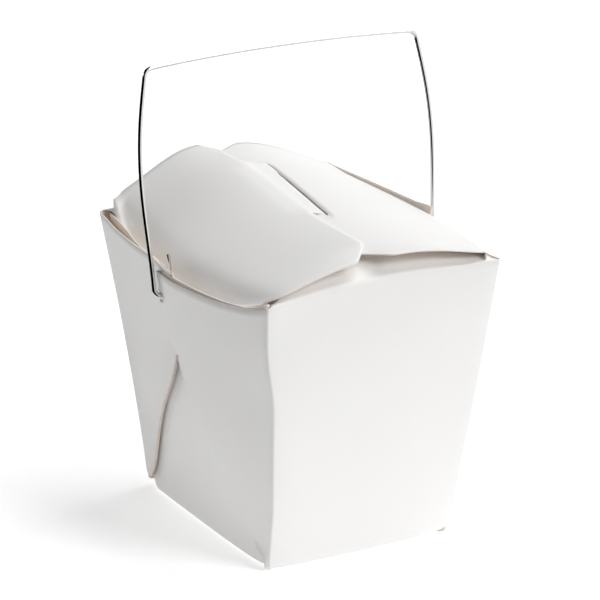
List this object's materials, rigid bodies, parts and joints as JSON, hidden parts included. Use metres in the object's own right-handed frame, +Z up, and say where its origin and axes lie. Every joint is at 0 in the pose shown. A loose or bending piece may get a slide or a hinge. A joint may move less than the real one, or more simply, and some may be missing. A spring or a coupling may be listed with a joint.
{
  "type": "noodle takeaway box",
  "caption": "Folded white paperboard food pail with tapered walls, a tucked flap lid held shut by a tab, and a swinging wire bail handle for carrying.",
  "frame": {"origin": "centre of the foot, on the surface it stands on", "axes": "+Z up; the bail swings on an axis along X, -Y is the front wall and -X the wire side whose front web lies on top"},
  "size_m": [0.1222, 0.1196, 0.1738],
  "materials": {
    "board": "white coated board, soft satin",
    "wire": "bright galvanised steel wire"
  },
  "bodies": {
    "carton": {"carton": "board"},
    "bail": {"bail": "wire"}
  },
  "joints": [
    {"name": "bail_swing", "type": "hinge", "parent": "carton", "child": "bail", "pos_m": [0, 0, 0.0923], "axis": [1, 0, 0], "range_deg": [-130, 147]}
  ]
}
